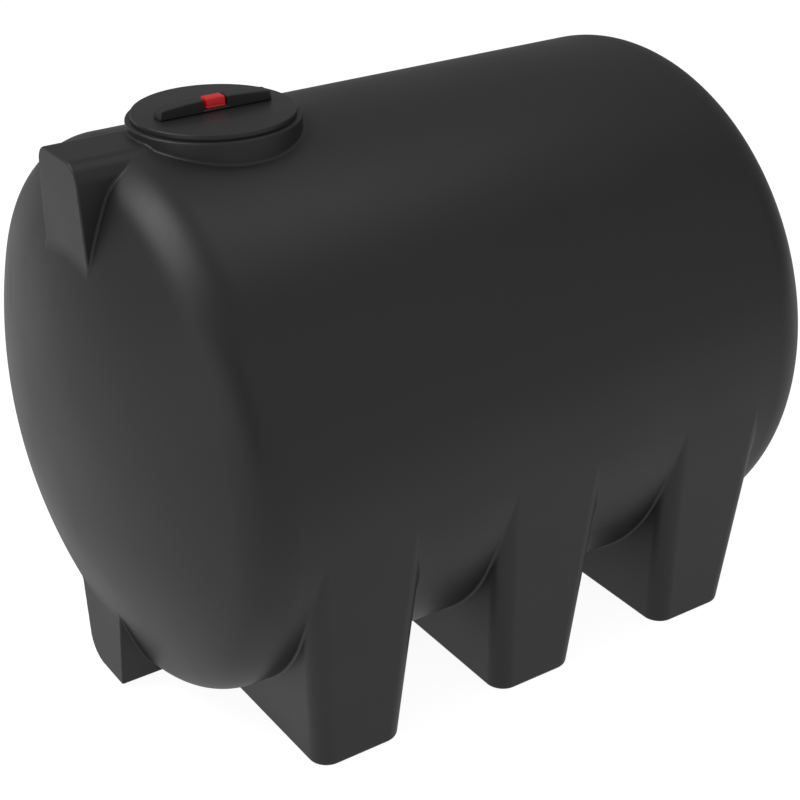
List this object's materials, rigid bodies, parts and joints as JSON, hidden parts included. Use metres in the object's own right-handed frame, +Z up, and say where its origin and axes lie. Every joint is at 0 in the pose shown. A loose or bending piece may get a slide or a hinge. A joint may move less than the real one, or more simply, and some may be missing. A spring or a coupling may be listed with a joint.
{
  "type": "horizontal polyethylene storage tank with moulded saddle legs and a manway lid",
  "caption": "Horizontal moulded liquid tank on paired saddle legs, with a screw-in manway lid, a vent cap, a hump and an outlet sump at one end.",
  "frame": {"origin": "on the ground, under the middle of the barrel", "axes": "+X along the barrel away from the lid end, +Y across to the left seen from the lid end looking along +X, +Z up"},
  "size_m": [1.9746, 1.4, 1.4795],
  "materials": {
    "tank_black": "rotomoulded polyethylene, smooth satin black",
    "lid_black": "injection moulded polypropylene, satin black",
    "seal_rubber": "matt black rubber",
    "vent_red": "semi-gloss red polypropylene"
  },
  "bodies": {
    "tank": {"barrel_shell": "tank_black", "front_end": "tank_black", "rear_end": "tank_black", "front_leg_left": "tank_black", "front_leg_right": "tank_black", "middle_leg_left": "tank_black", "middle_leg_right": "tank_black", "rear_leg_left": "tank_black", "rear_leg_right": "tank_black", "front_hump": "tank_black", "outlet_sump": "tank_black", "manway_neck": "tank_black", "neck_thread": "tank_black"},
    "lid": {"lid_plate": "lid_black", "lid_plug": "lid_black", "lid_ribs": "lid_black", "lid_seal": "seal_rubber", "lid_handle": "lid_black", "vent_cap": "vent_red", "vent_stem": "vent_red"}
  },
  "joints": [
    {"name": "lid_lift", "type": "slide", "parent": "tank", "child": "lid", "axis": [0, 0, 1], "range_m": [0, 0.3]}
  ]
}
